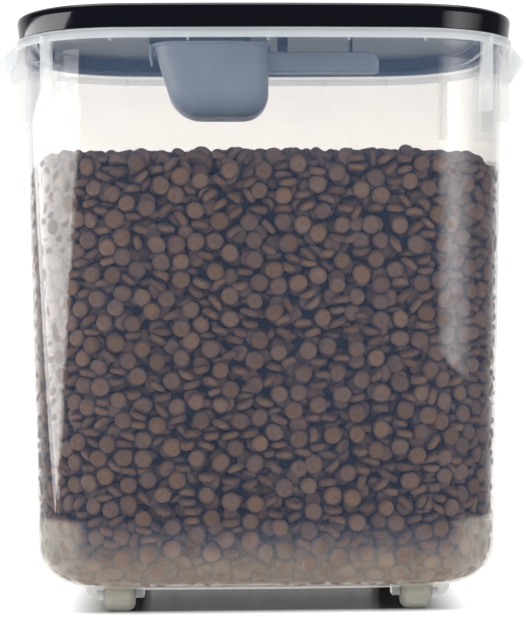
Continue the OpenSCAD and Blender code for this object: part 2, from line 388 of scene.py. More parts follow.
def natural_plastic(name, thick_haze=0.0):
    """Natural polypropylene: clear enough to see through, with a polished skin.

    Its haze is blue, so what passes straight on turns warm. It is milkier and whiter low down, where the
    moulding is thick, most of all towards the base's two ends, and in thick mouldings such as the rim, by
    thick_haze. Heights and reaches are in metres. The clear part's colour is a little above 1 in red and
    green, to make up for the light that the haze takes."""
    m = Nodes(name)
    split = m.add("SeparateXYZ", inputs={"Vector": m.position()})
    height = split.outputs["Z"]
    flow = m.noise(9.0, 4.0, 0.6, stretch=(1.0, 1.0, 0.12))
    cloud = m.noise(38.0, 3.0, 0.55)
    haze = m.math("ADD", m.remap(flow, 0.3, 0.7, 0.10, 0.13), m.remap(cloud, 0.3, 0.7, -0.006, 0.006))
    along = m.math("ABSOLUTE", split.outputs["X"])
    low = m.remap(height, BASE_HAZE_TOP, 0.030, 0.0, 0.04)
    ends = m.math("MULTIPLY", m.remap(height, BASE_HAZE_TOP, 0.060, 0.0, 1.0),
                  m.remap(along, END_FROM, END_TO, 0.0, 1.0))
    high = m.remap(height, NECK_HAZE_FROM, NECK_HAZE_TO, 0.0, 0.025)
    extra = m.math("ADD", m.math("ADD", low, high), m.math("ADD", m.math("MULTIPLY", ends, END_HAZE), thick_haze))
    white = m.math("MAXIMUM", m.remap(height, WHITE_FROM, WHITE_TO, 1.0 if thick_haze else 0.0, 1.0),
                   m.remap(ends, 0.0, 0.25, 0.0, 1.0))
    ripple = m.noise(26.0, 2.0, 0.4, stretch=(1.0, 1.0, 0.3))
    grain = m.noise(900.0, 2.0, 0.5)
    normal = m.bump(grain, 0.00002, 0.25, m.bump(ripple, 0.0008, 0.35))
    scatter_colour = m.mix_colour(white, (0.36, 0.55, 1.0),
                                  (0.66, 0.71, 0.76) if thick_haze else (0.72, 0.71, 0.69))
    scatter = m.add("BsdfDiffuse", inputs={"Color": scatter_colour, "Normal": normal}).outputs[0]
    glow_colour = m.mix_colour(white, (0.36, 0.585, 0.94),
                               (0.90, 0.94, 0.98) if thick_haze else (0.93, 0.91, 0.88))
    glow = m.add("BsdfTranslucent", inputs={"Color": glow_colour, "Normal": normal}).outputs[0]
    milky = m.mix_shader(m.remap(white, 0.0, 1.0, 0.13, 0.5), glow, scatter)
    clear = m.add("BsdfTransparent", inputs={"Color": (1.075, 1.038, 0.982, 1.0)}).outputs[0]
    body = m.mix_shader(m.math("ADD", haze, extra), clear, milky)
    roughness = m.remap(m.noise(60.0, 4.0), 0.3, 0.7, 0.03, 0.075)
    gloss = m.add("BsdfGlossy", inputs={
        "Color": (1, 1, 1, 1), "Roughness": roughness, "Normal": normal}).outputs[0]
    back = m.add("NewGeometry").outputs["Backfacing"]
    fresnel = m.add("Fresnel", inputs={"IOR": m.remap(back, 0, 1, PLASTIC_IOR, 1 / PLASTIC_IOR)}).outputs[0]
    return m.finish(m.mix_shader(fresnel, body, gloss))


def black_plastic(name, satin=False):
    """Black lid: glossy outside with moulded orange peel, handling marks and a little dust, satin beneath, with a
    lighter grey base colour there as painted sheen.
    """
    m = Nodes(name)
    peel = m.noise(210.0, 2.0, 0.4)
    wave = m.noise(18.0, 2.0, 0.4)
    normal = m.bump(peel, 0.00001, 0.3, m.bump(wave, 0.0001, 0.2))
    marks = m.noise(70.0, 6.0, 0.7, stretch=(1.0, 3.5, 1.0))
    roughness = m.remap(marks, 0.35, 0.75, *((0.42, 0.5) if satin else (0.06, 0.16)))
    # Painted sheen: the satin underside takes a grey base colour, far lighter than the black above, for the light it
    # reflects.
    base = (0.085, 0.088, 0.094) if satin else (0.0032, 0.0032, 0.0062)
    dust = m.ramp(m.noise(650.0, 4.0, 0.7), (0.62, base), (0.80, tuple(c + 0.023 for c in base)))
    shader = m.add("BsdfPrincipled", inputs={
        "Base Color": dust, "Roughness": roughness, "IOR": 1.5, "Normal": normal}).outputs[0]
    return m.finish(shader)


def seal_rubber():
    """Soft grey sealing ring with a satin, slightly dusty surface."""
    m = Nodes("seal_rubber")
    colour = m.ramp(m.noise(120.0, 4.0), (0.3, (0.19, 0.22, 0.26)), (0.75, (0.27, 0.30, 0.34)))
    shader = m.add("BsdfPrincipled", inputs={
        "Base Color": colour, "Roughness": m.remap(m.noise(300.0), 0.3, 0.7, 0.45, 0.62),
        "Normal": m.bump(m.noise(1400.0, 2.0), 0.00003, 0.4)}).outputs[0]
    return m.finish(shader)


def scoop_plastic():
    """Blue-grey matte plastic with a fine spark-eroded grain and worn, slightly paler patches."""
    m = Nodes("scoop_plastic")
    wear = m.noise(30.0, 5.0, 0.6)
    colour = m.ramp(wear, (0.3, (0.205, 0.255, 0.335)), (0.75, (0.265, 0.315, 0.395)))
    shader = m.add("BsdfPrincipled", inputs={
        "Base Color": colour, "Roughness": m.remap(m.noise(90.0, 4.0), 0.3, 0.7, 0.32, 0.5),
        "IOR": 1.49, "Normal": m.bump(m.noise(1600.0, 2.0), 0.00004, 0.45)}).outputs[0]
    return m.finish(shader)


def wheel_plastic():
    """Greenish-grey, slightly translucent plastic with a scuffed tread."""
    m = Nodes("wheel_plastic")
    scuff = m.noise(160.0, 6.0, 0.7, stretch=(0.25, 1.0, 1.0))
    colour = m.ramp(scuff, (0.35, (0.235, 0.23, 0.19)), (0.62, (0.31, 0.30, 0.255)), (0.8, (0.20, 0.19, 0.165)))
    shader = m.add("BsdfPrincipled", inputs={
        "Base Color": colour, "Roughness": m.remap(scuff, 0.3, 0.7, 0.34, 0.6), "IOR": 1.49,
        "Subsurface Weight": 0.25, "Subsurface Radius": (0.004, 0.004, 0.003), "Subsurface Scale": 1.0,
        "Normal": m.bump(scuff, 0.0001, 0.5)}).outputs[0]
    return m.finish(shader)


def drawn_steel():
    """Drawn wire pin with fine scratches round it."""
    m = Nodes("drawn_steel")
    lines = m.noise(260.0, 3.0, 0.6, stretch=(9.0, 1.0, 1.0))
    shader = m.add("BsdfPrincipled", inputs={
        "Base Color": m.ramp(lines, (0.3, (0.42, 0.42, 0.42)), (0.7, (0.62, 0.62, 0.61))),
        "Metallic": 1.0, "Roughness": m.remap(lines, 0.3, 0.7, 0.25, 0.45),
        "Normal": m.bump(lines, 0.00003, 0.5)}).outputs[0]
    return m.finish(shader)


# ---------------------------------------------------------------- tub
def wall_inset(z):
    """How far inside the lid's top edge the wall's outer face lies at height z."""
    return WALL_IN + (NECK_Z - z) * DRAFT


def grip_bulge(y):
    """How far the side grip stands out at distance y from its middle, from 0 to 1."""
    return 0.5 + 0.5 * np.cos(np.pi * np.clip(np.abs(y) / GRIP_HALF, 0, 1))


def grip_warp(ring, p):
    """Draws the flange's outer part out and down into the side grips, with a deeper lip that leans back in."""
    inset, z = p
    if z < FLANGE_Z - LIP_H - 0.1 or inset > MOUTH_IN:
        return ring
    side = np.abs(ring[:, 0]) > CORNER_C[0]
    bulge = np.where(side, grip_bulge(ring[:, 1]), 0.0)
    out = np.clip((MOUTH_IN - inset) / (MOUTH_IN - LIP_IN), 0, 1)
    down = np.clip((FLANGE_Z - FLANGE_T - z) / (LIP_H - FLANGE_T), 0, 1)
    drop = down * (GRIP_DROP - LIP_H) * bulge
    past_root = FLANGE_IN - inset + out * GRIP_OUT * bulge + 3
    sag = GRIP_SAG * bulge * np.clip(past_root / (3 + GRIP_OUT * bulge), 0, 1)
    ring = ring.copy()
    ring[:, 0] += np.sign(ring[:, 0]) * (out * GRIP_OUT * bulge - GRIP_LEAN * drop)
    ring[:, 2] -= drop + sag * (1 - down)
    return ring


def tub_shell():
    inner_low = CLEARANCE + WALL
    profile = rounded([
        (70.0, CLEARANCE, 0),
        (wall_inset(CLEARANCE), CLEARANCE, BASE_R),
        (wall_inset(120), 120, 0),
        (wall_inset(240), 240, 0),
        (WALL_IN, NECK_Z, 0.3),
        (WALL_IN - 0.5, NECK_Z + 0.8, 0.3),
        (WALL_IN - 0.5, FLANGE_Z - FLANGE_T, 0.9),
        (4.6, FLANGE_Z - FLANGE_T, 0),
        (LIP_IN, FLANGE_Z - FLANGE_T, 0.8),
        (LIP_IN, FLANGE_Z - LIP_H, 0.8),
        (FLANGE_IN, FLANGE_Z - LIP_H, 1.0),
        (FLANGE_IN, FLANGE_Z, 1.4),
        (2.2, FLANGE_Z, 0),
        (4.6, FLANGE_Z, 0),
        (MOUTH_IN, FLANGE_Z, 0.5),
        (MOUTH_IN, MOUTH_Z, 1.0),
        (MOUTH_IN + MOUTH_T, MOUTH_Z, 1.0),
        (MOUTH_IN + MOUTH_T, NECK_Z + 6, 9.0),
        (wall_inset(NECK_Z - 12) + WALL, NECK_Z - 12, 9.0),
        (wall_inset(240) + WALL, 240, 0),
        (wall_inset(120) + WALL, 120, 0),
        (wall_inset(CLEARANCE) + WALL, inner_low, BASE_R - WALL),
        (70.0, inner_low, 0)])
    return loft("tub", profile, warp=grip_warp)


RIB_LOW = CLEARANCE + 311.2
RIB_T = 2.2
RIB_ROUND = 3.6
CORNER_RIB_OUT = 9.9
CORNER_RIB_TURN = math.radians(44)
SIDE_RIB_OUT = 8.6
SIDE_RIB_Y = 34.5
GUSSET_X = (-101, -51.5, 0, 51.5, 101)
GUSSET_T = 2.2


def rib(name, out):
    """A de-nesting rib standing out along +X from x = 0, with a rounded outer bottom corner."""
    top = FLANGE_Z - FLANGE_T - 0.3
    turn = [(out - RIB_ROUND + RIB_ROUND * math.cos(a), RIB_LOW + RIB_ROUND + RIB_ROUND * math.sin(a))
            for a in np.linspace(-math.pi / 2, 0, 7)]
    return extrusion(name, [(-1.2, top), (-1.2, RIB_LOW)] + turn + [(out, top)], -RIB_T / 2, RIB_T / 2, "Y", 0.5)


def placed(obj, x, y, angle):
    """Turns obj about Z and moves it, with both written into its mesh."""
    obj.data.transform(Matrix.Translation((x * MM, y * MM, 0)) @ Matrix.Rotation(angle, 4, "Z"))
    return obj


def tub_ribs():
    parts = []
    for sx in (-1, 1):
        for sy in (-1, 1):
            angle = math.atan2(sy * math.cos(CORNER_RIB_TURN), sx * math.sin(CORNER_RIB_TURN))
            reach = CORNER_R - WALL_IN - 0.3
            parts.append(placed(rib(f"rib_{sx}_{sy}", CORNER_RIB_OUT), sx * CORNER_C[0] + reach * math.cos(angle),
                                sy * CORNER_C[1] + reach * math.sin(angle), angle))
            side_x = LID_W / 2 - WALL_IN - 0.8
            parts.append(placed(rib(f"side_rib_{sx}_{sy}", SIDE_RIB_OUT), sx * side_x, sy * SIDE_RIB_Y,
                                0 if sx > 0 else math.pi))
    for sy in (-1, 1):
        for x in GUSSET_X:
            front = LID_D / 2 - WALL_IN - 0.6 - x * x / (2 * FRONT_BOW_R)
            points = [(front - 0.6, FLANGE_Z - FLANGE_T - 0.3), (front - 0.6, FLANGE_Z - 7.8),
                      (front + 0.8, FLANGE_Z - 7.8), (front + 4.4, FLANGE_Z - 6.6),
                      (front + 4.4, FLANGE_Z - FLANGE_T - 0.3)]
            points = [(sy * a, b) for a, b in points]
            parts.append(extrusion(f"gusset_{sy}_{x}", points, x - GUSSET_T / 2, x + GUSSET_T / 2, "X", 0.3))
    return joined("ribs", parts)


ARCH_R = WHEEL_R + 1.3
ARCH_HALF = WHEEL_W / 2 + 0.35
CHEEK_LOW = 8.4
FIN_REACH = 11.3
PIN_X = WHEEL_X + (FIN_REACH - 9) / 4
PIN_HALF = ARCH_HALF + 4.2
PIN_HOLE_HALF = ARCH_HALF + 4.4
PIN_HOLE_R = AXLE_R + 0.04


def arch(radius, half, low):
    """Makes a wheel arch's solid: half round above the axle's height, straight-sided down to low."""
    def make(sx, sy, name):
        foot = math.asin(max(0.0, low - WHEEL_R) / radius)
        turns = np.linspace(foot, math.pi - foot, 25)
        points = [(sy * WHEEL_Y + radius * math.cos(a), WHEEL_R + radius * math.sin(a)) for a in turns]
        if low < WHEEL_R:
            points += [(sy * WHEEL_Y - radius, low), (sy * WHEEL_Y + radius, low)]
        return extrusion(name, points, sx * WHEEL_X - half, sx * WHEEL_X + half, "X")
    return make


def fin(sx, sy, name):
    """The outer cheek: a fin whose lower edge bows out and up to the tub's underside."""
    inner = WHEEL_X + ARCH_HALF
    bow = [(inner + FIN_REACH * math.cos(a), CLEARANCE - (CLEARANCE - CHEEK_LOW) * math.sin(a))
           for a in np.linspace(0, math.pi / 2, 13)]
    points = [(inner, CLEARANCE + 1.0), (inner + FIN_REACH, CLEARANCE + 1.0)] + bow
    points = [(sx * a, b) for a, b in points]
    return extrusion(name, points, sy * WHEEL_Y - 9, sy * WHEEL_Y + 9, "Y", 0.5)


def post(sx, sy, name):
    """The inner cheek: a plain post."""
    inner = WHEEL_X - ARCH_HALF
    points = [(sx * a, b) for a, b in box_points(inner - 5.4, inner, CHEEK_LOW + 1, CLEARANCE + 1.0)]
    return extrusion(name, points, sy * WHEEL_Y - 6, sy * WHEEL_Y + 6, "Y", 0.5)


def pin_hole(sx, sy, name):
    """The solid of one pin's hole through both cheeks."""
    points = [(sy * WHEEL_Y + PIN_HOLE_R * math.cos(a), WHEEL_R + PIN_HOLE_R * math.sin(a))
              for a in np.linspace(0, 2 * math.pi, 32, endpoint=False)]
    return extrusion(name, points, sx * PIN_X - PIN_HOLE_HALF, sx * PIN_X + PIN_HOLE_HALF, "X")


def plan_inset(x, y):
    """How far inside the lid's top edge a point lies, in mm, negative outside it."""
    x, y = abs(x), abs(y)
    angle = math.atan2(y - CORNER_C[1], x - CORNER_C[0])
    if x > CORNER_C[0] and y > CORNER_C[1] and SIDE_END < angle < FRONT_START:
        return CORNER_R - math.hypot(x - CORNER_C[0], y - CORNER_C[1])
    if angle < SIDE_END and x > CORNER_C[0]:
        return SIDE_BOW_R - math.hypot(x - SIDE_C[0], y)
    return FRONT_BOW_R - math.hypot(x, y - FRONT_C[1])


WALL_SLOT, RIM_SLOT, RIB_SLOT = 0, 1, 2


def tub_slot(x, y, z):
    """Which of the tub's materials a face at this place in mm takes: wall, rim or rib."""
    inset = plan_inset(x, y)
    bulge = grip_bulge(y) if abs(x) > CORNER_C[0] else 0.0
    if z > FLANGE_Z - LIP_H - 0.3 - 14.6 * bulge and inset < LIP_IN + 0.3:
        return RIM_SLOT
    if z < CLEARANCE - 0.1 or (z > RIB_LOW - 1 and inset < wall_inset(z) - 0.8):
        return RIB_SLOT
    return WALL_SLOT


def make_tub(wall, rim, ribs):
    tub = tub_shell()
    combine(tub, tub_ribs(), "UNION")
    combine(tub, four_corners(arch(ARCH_R + WALL, ARCH_HALF + WALL, CLEARANCE + 0.4), "arches"), "UNION")
    combine(tub, joined("cheeks", [four_corners(fin, "fins"), four_corners(post, "posts")]), "UNION")
    combine(tub, four_corners(arch(ARCH_R, ARCH_HALF, 0.0), "hollows"), "DIFFERENCE")
    combine(tub, four_corners(pin_hole, "pin_holes"), "DIFFERENCE")
    smooth(tub, 30)
    tub.data.materials.clear()
    for material in (wall, rim, ribs):
        tub.data.materials.append(material)
    for face in tub.data.polygons:
        face.material_index = tub_slot(*(face.center / MM))
    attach(tub, "bin")
    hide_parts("tub")


# ---------------------------------------------------------------- lid, seal and scoop
PANEL_STEP = 1.2
LID_UNDER = LID_Z - PANEL_STEP - 2.8
PLUG_Z = LID_UNDER - 9.7
PLUG_IN = MOUTH_IN + MOUTH_T + 1.2
GROOVE_IN = PLUG_IN + 1.9
PLUG_INNER = PLUG_IN + 3.9
GROOVE_Z = PLUG_Z + 2.3
GROOVE_H = 4.2
SKIRT_IN = 1.6
FIT_GAP = 0.3

HANDLE_W = 17.0
HANDLE_H = 14.0
BOWL_LEFT = SCOOP_LOW[0] + 3
BOWL_RIGHT = BOWL_LEFT + 80
SCOOP_RIM = SCOOP_HIGH[2]
SCOOP_Z = SCOOP_LOW[2]
HANDLE_Z = SCOOP_Z + 32.5


def lid_shell():
    profile = rounded([
        (PLUG_INNER + 6, LID_UNDER, 0),
        (PLUG_INNER, LID_UNDER, 1.2),
        (PLUG_INNER, PLUG_Z, 0.7),
        (PLUG_IN, PLUG_Z, 1.0),
        (PLUG_IN, GROOVE_Z, 0.3),
        (GROOVE_IN, GROOVE_Z, 0.3),
        (GROOVE_IN, GROOVE_Z + GROOVE_H, 0.3),
        (PLUG_IN, GROOVE_Z + GROOVE_H, 0.3),
        (PLUG_IN, MOUTH_Z + FIT_GAP, 0.5),
        (SKIRT_IN + 1.6, MOUTH_Z + FIT_GAP, 0.5),
        (SKIRT_IN + 2, FLANGE_Z + FIT_GAP, 0.5),
        (SKIRT_IN, FLANGE_Z + FIT_GAP, 0.6),
        (0.2, LID_Z - 4.5, 3.0),
        (0.5, LID_Z - 1.8, 1.4),
        (2.9, LID_Z, 1.6),
        (12.2, LID_Z, 0.7),
        (13.8, LID_Z - PANEL_STEP, 0.7),
        (20, LID_Z - PANEL_STEP, 0)])
    return loft("lid", profile)


def lid_posts():
    channel = HANDLE_W / 2 - 2
    low = HANDLE_Z + 6
    parts = [extrusion(f"post_{x}", box_points(x, x + length, low, LID_UNDER + 0.8), -channel + 0.25,
                       channel - 0.25, "Y", 0.35) for x, length in ((11, 7.0), (62, 1.8))]
    parts.append(extrusion("locator", box_points(-79, -9, SCOOP_RIM + 1, LID_UNDER + 0.8), -20, 20, "Y", 0.4))
    return joined("lid_posts", parts)


def make_lid(black, satin, rubber):
    lid = lid_shell()
    combine(lid, lid_posts(), "UNION")
    smooth(lid, 30)
    lid.data.materials.clear()
    for material in (black, satin):
        lid.data.materials.append(material)
    for face in lid.data.polygons:
        # The flat underside faces take the satin material with its painted sheen.
        face.material_index = int(face.normal.z < -0.9 and abs(face.center.z / MM - LID_UNDER) < 0.5)
    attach(lid, "lid")
    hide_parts("lid")
    low, high = GROOVE_Z + 0.15, GROOVE_Z + GROOVE_H - 0.15
    outer = MOUTH_IN + MOUTH_T + FIT_GAP
    middle = (low + high) / 2
    seal = loft("seal", rounded([
        (GROOVE_IN, low, 0), (GROOVE_IN - 1.6, low, 0.2), (outer, low + 0.3, 0.35), (outer + 0.5, middle, 0.4),
        (outer, high - 0.3, 0.35), (GROOVE_IN - 1.6, high, 0.2), (GROOVE_IN, high, 0)], 3), closed=True)
    smooth(seal, 50)
    seal.data.materials.append(rubber)
    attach(seal, "lid")
    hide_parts("lid_seal")


def bowl_ring(x0, x1, half, radius, z, steps=9):
    """A level rounded rectangle from x0 to x1 and half wide each side."""
    points = []
    for k, (cx, cy) in enumerate(((x1 - radius, half - radius), (x0 + radius, half - radius),
                                  (x0 + radius, radius - half), (x1 - radius, radius - half))):
        for a in np.linspace(k * math.pi / 2, (k + 1) * math.pi / 2, steps):
            points.append((cx + radius * math.cos(a), cy + radius * math.sin(a)))
    return level(np.array(points), z)


def bowl_level(z, inwards):
    """The bowl's outer outline at height z: its left wall leans in downwards, its right wall is upright."""
    down = SCOOP_RIM - z
    return bowl_ring(BOWL_LEFT + 0.31 * down + inwards, BOWL_RIGHT - inwards,
                     38 - 0.09 * down - inwards, max(3.0, 20 - inwards), z)


def bowl_shell():
    wall = 1.8
    profile = rounded([
        (22.0, SCOOP_Z, 0), (0.0, SCOOP_Z, 16.0), (0.0, SCOOP_RIM - 2.2, 0.4), (-1.6, SCOOP_RIM - 2.0, 0.5),
        (-1.6, SCOOP_RIM, 0.7), (wall, SCOOP_RIM, 0.6), (wall, SCOOP_Z + wall, 14.2), (22.0, SCOOP_Z + wall, 0)])
    rings = [bowl_level(p[1], p[0]) for p in profile]

    def flat_cap(ring):
        middle = ring.mean(axis=0)
        return [middle + (ring - middle) * (s, s, 1) for s in (0.6, 0.3)]
    return skin("scoop", flat_cap(rings[0])[::-1] + rings + flat_cap(rings[-1]))


def bar_outline(half, x0, x1):
    """A bar's plan from x0, square-ended, to x1, round-ended."""
    turns = np.linspace(-math.pi / 2, math.pi / 2, 25)
    return [(x0, half), (x0, -half)] + [(x1 - half + half * math.cos(a), half * math.sin(a)) for a in turns]


def make_scoop(material):
    scoop = bowl_shell()
    end = SCOOP_HIGH[0]
    bar = bar_outline(HANDLE_W / 2, BOWL_RIGHT - 1.2, end)
    combine(scoop, extrusion("bar", bar, HANDLE_Z, HANDLE_Z + HANDLE_H, "Z", 1.0, 3), "UNION")
    channel = bar_outline(HANDLE_W / 2 - 2, BOWL_RIGHT + 3, end - 2)
    combine(scoop, extrusion("channel", channel, HANDLE_Z + 2, HANDLE_Z + 30, "Z", 0.6), "DIFFERENCE")
    top, corner, margin = HANDLE_Z + HANDLE_H, 8.0, 5.0
    side = [(BOWL_LEFT - margin, SCOOP_Z - margin), (end + margin, SCOOP_Z - margin), (end + margin, top - corner)] + [
        (end - corner + corner * math.cos(a), top - corner + corner * math.sin(a))
        for a in np.linspace(0, math.pi / 2, 9)] + [
        (BOWL_RIGHT + margin, top), (BOWL_RIGHT + margin, SCOOP_RIM + margin),
        (BOWL_LEFT - margin, SCOOP_RIM + margin)]
    combine(scoop, extrusion("side", side, -60, 60, "Y"), "INTERSECT")
    lip = [(BOWL_LEFT - 3, SCOOP_RIM), (BOWL_LEFT - 3, SCOOP_RIM - 10), (BOWL_LEFT - 1.5, SCOOP_RIM - 10),
           (BOWL_LEFT - 1.3, SCOOP_RIM - 2), (BOWL_LEFT + 1, SCOOP_RIM - 2), (BOWL_LEFT + 1, SCOOP_RIM)]
    combine(scoop, extrusion("scoop_lip", lip, -20, 20, "Y", 0.4), "UNION")
    smooth(scoop, 35)
    scoop.data.materials.clear()
    scoop.data.materials.append(material)
    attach(scoop, "scoop")
    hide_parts("scoop")


# ---------------------------------------------------------------- wheels
def make_wheels(plastic, steel):
    half = WHEEL_W / 2
    bore = AXLE_R + 0.03
    crown = 0.35
    tyre = rounded([
        (0, bore, 0), (-half + 0.3, bore, 0), (-half, bore + 0.3, 0), (-half, 3.6, 0.3), (-half + 1.2, 3.9, 0.3),
        (-half + 1.2, 5.5, 0.3), (-half, 5.8, 0.3), (-half, WHEEL_R - crown, 5.4), (0, WHEEL_R, 60),
        (half, WHEEL_R - crown, 5.4), (half, 5.8, 0.3), (half - 1.2, 5.5, 0.3), (half - 1.2, 3.9, 0.3),
        (half, 3.6, 0.3), (half, bore + 0.3, 0), (half - 0.3, bore, 0)])
    pin = [(-PIN_HALF, 0.3), (-PIN_HALF, AXLE_R - 0.35), (-PIN_HALF + 0.35, AXLE_R), (PIN_HALF - 0.35, AXLE_R),
           (PIN_HALF, AXLE_R - 0.35), (PIN_HALF, 0.3)]
    for end, sy in (("front", -1), ("rear", 1)):
        for side, sx in (("left", -1), ("right", 1)):
            name = f"{end}_{side}"
            for kind, profile, x, body, material, slot in (
                    ("wheel", tyre, WHEEL_X, f"wheel_{name}", plastic, "wheel_plastic"),
                    ("axle", pin, PIN_X, "bin", steel, "axle_steel")):
                piece = lathe(f"{kind}_{name}_detail", profile)
                piece.data.transform(Matrix.Translation(np.array((sx * x, sy * WHEEL_Y, WHEEL_R)) * MM))
                smooth(piece, 40)
                piece.data.materials.append(material)
                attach(piece, body)
                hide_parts(f"{kind}_{name}")


# ---------------------------------------------------------------- set: floor, lights and the food inside
def make_world():
    """White for the camera and soft all round, but darker in reflections from in front, as in a studio."""
    world = bpy.data.worlds.new("studio")
    bpy.context.scene.world = world
    world.use_nodes = True
    tree = world.node_tree
    tree.nodes.clear()
    output = tree.nodes.new("ShaderNodeOutputWorld")
    background = tree.nodes.new("ShaderNodeBackground")
    path = tree.nodes.new("ShaderNodeLightPath")
    direction = tree.nodes.new("ShaderNodeTexCoord")
    split = tree.nodes.new("ShaderNodeSeparateXYZ")
    tree.links.new(direction.outputs["Generated"], split.inputs[0])
    behind = tree.nodes.new("ShaderNodeMapRange")
    behind.inputs["From Min"].default_value = 0.45
    behind.inputs["From Max"].default_value = 0.95
    behind.inputs["To Min"].default_value = 0.05
    behind.inputs["To Max"].default_value = 1.0
    tree.links.new(split.outputs["Y"], behind.inputs["Value"])
    chosen = None
    for flag, value in (("Is Glossy Ray", behind.outputs[0]), ("Is Camera Ray", 1.2)):
        mix = tree.nodes.new("ShaderNodeMix")
        tree.links.new(path.outputs[flag], mix.inputs[0])
        if chosen is None:
            mix.inputs[2].default_value = 0.7
        else:
            tree.links.new(chosen, mix.inputs[2])
        if isinstance(value, float):
            mix.inputs[3].default_value = value
        else:
            tree.links.new(value, mix.inputs[3])
        chosen = mix.outputs[0]
    background.inputs["Color"].default_value = (1, 1, 1, 1)
    tree.links.new(chosen, background.inputs["Strength"])
    tree.links.new(background.outputs[0], output.inputs["Surface"])


def softbox(name, place, aim, width, height, strength):
    """A rectangular light that shines from place towards aim. strength is its radiance."""
    light = bpy.data.lights.new(name, "AREA")
    light.shape = "RECTANGLE"
    light.size, light.size_y = width, height
    light.energy = strength * width * height * math.pi
    obj = bpy.data.objects.new(name, light)
    bpy.context.collection.objects.link(obj)
    obj.location = place
    obj.rotation_euler = (Vector(aim) - Vector(place)).to_track_quat("-Z", "Y").to_euler()
    return obj


def panel(name, x, corners, strength, fade=0.0):
    """A glowing panel in the plane X = x with the given (y, z) corners. Only its light and reflection show.

    Its glow fades out over the last fade metres towards both ends in Y."""
    mesh = bpy.data.meshes.new(name)
    mesh.from_pydata([(x, y, z) for y, z in corners], [], [tuple(range(len(corners)))])
    obj = new_object(name, mesh)
    m = Nodes(name)
    if fade:
        y = m.add("SeparateXYZ", inputs={"Vector": m.position()}).outputs["Y"]
        ends = [c[0] for c in corners]
        strength = m.math("MULTIPLY", m.remap(y, min(ends), min(ends) + fade, 0.0, strength),
                          m.remap(y, max(ends), max(ends) - fade, 0.0, 1.0))
    obj.data.materials.append(m.finish(m.add("Emission", inputs={"Strength": strength}).outputs[0]))
    obj.visible_camera = False
    obj.visible_transmission = False


def pale_floor():
    """White paper with a slight sheen, evenly bright beyond the bin, with a painted shadow under it: by position, its
    colour darkens and its glow fades out there.
    """
    m = Nodes("pale_floor")
    split = m.add("SeparateXYZ", inputs={"Vector": m.position()})
    # Painted shadow: these masks are 0 under the bin and 1 beyond it, and they darken the paper's colour and fade its
    # glow under the bin.
    past_x = m.remap(m.math("ABSOLUTE", split.outputs["X"]), 0.104, 0.150, 0.0, 1.0)
    past_y = m.remap(m.math("ABSOLUTE", split.outputs["Y"]), 0.074, 0.094, 0.0, 1.0)
    out_of_painted_shadow = m.math("SQRT", m.math("ADD", m.math("MULTIPLY", past_x, past_x), m.math("MULTIPLY", past_y, past_y)))
    paper_colour_with_painted_shadow = m.mix_colour(m.remap(out_of_painted_shadow, 0.0, 1.0, 0.0, 1.0), (0.06, 0.06, 0.06), (0.93, 0.93, 0.93))
    paper = m.add("BsdfDiffuse", inputs={"Color": paper_colour_with_painted_shadow}).outputs[0]
    sheen = m.add("BsdfGlossy", inputs={"Color": (1, 1, 1, 1), "Roughness": 0.14}).outputs[0]
    fresnel = m.math("MULTIPLY", m.add("Fresnel", inputs={"IOR": 1.4}).outputs[0], 0.45)
    glow = m.add("Emission", inputs={
        "Color": (1, 1, 1, 1), "Strength": m.remap(out_of_painted_shadow, 0.0, 1.0, 0.0, 0.97)}).outputs[0]
    both = m.add("AddShader")
    m.set(both, 0, m.mix_shader(fresnel, paper, sheen))
    m.set(both, 1, glow)
    return m.finish(both.outputs[0])


def make_set():
    make_world()
    panel("left_panel", -0.85, ((-0.62, 0.40), (0.70, 0.40), (0.09, -0.06)), 4.6)
    panel("right_panel", 0.85, ((-1.05, 0.42), (-0.10, 0.42), (-0.10, 0.10), (-1.05, 0.10)), 3.0, 0.42)
    softbox("top_box", (0.0, 0.15, 1.5), (0, 0, 0.3), 1.4, 1.0, 1.6)
    fill = softbox("front_fill", (0.0, -1.7, 0.45), (0, 0, 0.15), 1.8, 0.8, 2.2)
    fill.visible_glossy = False
    floor = new_object("floor", bpy.data.meshes.new("floor"))
    bm = bmesh.new()
    bmesh.ops.create_grid(bm, x_segments=1, y_segments=1, size=6.0)
    bm.to_mesh(floor.data)
    bm.free()
    floor.data.materials.append(pale_floor())
    floor.visible_glossy = False


KIBBLE_R = 5.9
KIBBLE_T = 5.2
FOOD_TOP = 301.0
STRIP_H = 296.0
BASE_TRIES = 900
TOP_TRIES = 2600
# Each layer inwards from the wall: added depth, tries face-on, tries on edge, both spacings, and the wobble.
FOOD_LAYERS = (
    (-1.4, 3400, 60000, 11.2, 4.5, 0.34),
    (3.0, 2600, 26000, 10.6, 4.5, 0.55),
    (8.4, 2000, 16000, 10.2, 4.6, 0.9))


def kibble_shape():
    """One kibble: a round biscuit with a soft rim and a slight dimple, as vertices and quads in mm."""
    turns = np.linspace(0, 2 * math.pi, 14, endpoint=False)
    profile = [(0.001, 0.40), (0.35, 0.46), (0.66, 0.46), (0.86, 0.36), (0.97, 0.17), (1.0, 0.0),
               (0.97, -0.17), (0.86, -0.36), (0.66, -0.46), (0.35, -0.46), (0.001, -0.40)]
    verts = np.array([(r * KIBBLE_R * math.cos(a), r * KIBBLE_R * math.sin(a), h * KIBBLE_T)
                      for r, h in profile for a in turns])
    n = len(turns)
    faces = np.array([(k * n + i, (k + 1) * n + i, (k + 1) * n + (i + 1) % n, k * n + (i + 1) % n)
                      for k in range(len(profile) - 1) for i in range(n)])
    return verts, faces


def wall_path():
    """The inside of the wall as a dense closed path: points, outward normals and length so far."""
    path = outline(0.0, 30, 60, 30)
    step = np.roll(path, -1, axis=0) - path
    length = np.concatenate([[0], np.cumsum(np.linalg.norm(step, axis=1))])
    tangent = np.roll(path, -1, axis=0) - np.roll(path, 1, axis=0)
    tangent /= np.linalg.norm(tangent, axis=1)[:, None]
    return path, np.stack([tangent[:, 1], -tangent[:, 0]], axis=1), length


